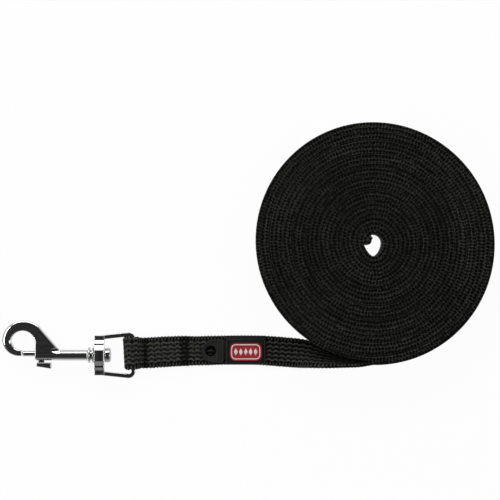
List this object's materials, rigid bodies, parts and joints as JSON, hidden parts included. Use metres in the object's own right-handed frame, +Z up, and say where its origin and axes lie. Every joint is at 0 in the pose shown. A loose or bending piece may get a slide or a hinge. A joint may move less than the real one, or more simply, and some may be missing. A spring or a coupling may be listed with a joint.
{
  "type": "training leash",
  "caption": "Long flat webbing training leash wound into a coil, with a swivelling spring bolt snap sewn into its outer end.",
  "frame": {"origin": "middle of the leash's outline, on the surface it lies on", "axes": "-X along the snap towards its bow, +Y across from the snap's strap towards the coil's far side, +Z up along the coil's axis"},
  "size_m": [0.2517, 0.1304, 0.0151],
  "materials": {
    "webbing": "woven, matte",
    "thread": "matte",
    "plated": "polished nickel",
    "spring_wire": "drawn wire",
    "tongue": "matte",
    "badge": "matte",
    "inlay": "satin"
  },
  "bodies": {
    "strap": {"strap_coil": "webbing", "strap_lead": "webbing", "strap_loop": "webbing", "front_stitches": "thread", "rear_stitches": "thread", "rubber_tab": "tongue", "badge_base": "badge", "badge_panel": "inlay", "badge_stitches": "thread"},
    "frame": {"swivel_frame": "plated"},
    "hook": {"hook_body": "plated", "swivel_stud": "plated", "bolt_spring": "spring_wire"},
    "bolt": {"hook_bolt": "plated", "thumb_lug": "plated"}
  },
  "joints": [
    {"name": "frame_pivot", "type": "hinge", "parent": "strap", "child": "frame", "pos_m": [-0.0585, -0.0535, 0.0043], "axis": [0, 1, 0], "range_deg": [0, 150]},
    {"name": "hook_swivel", "type": "hinge", "parent": "frame", "child": "hook", "pos_m": [-0.0759, -0.0535, 0.0043], "axis": [1, 0, 0], "continuous": true},
    {"name": "bolt_slide", "type": "slide", "parent": "hook", "child": "bolt", "axis": [1, 0, 0], "range_m": [0, 0.007], "stiffness_N_per_m": 300, "springref_m": -0.004, "deforming": ["bolt_spring"]}
  ]
}
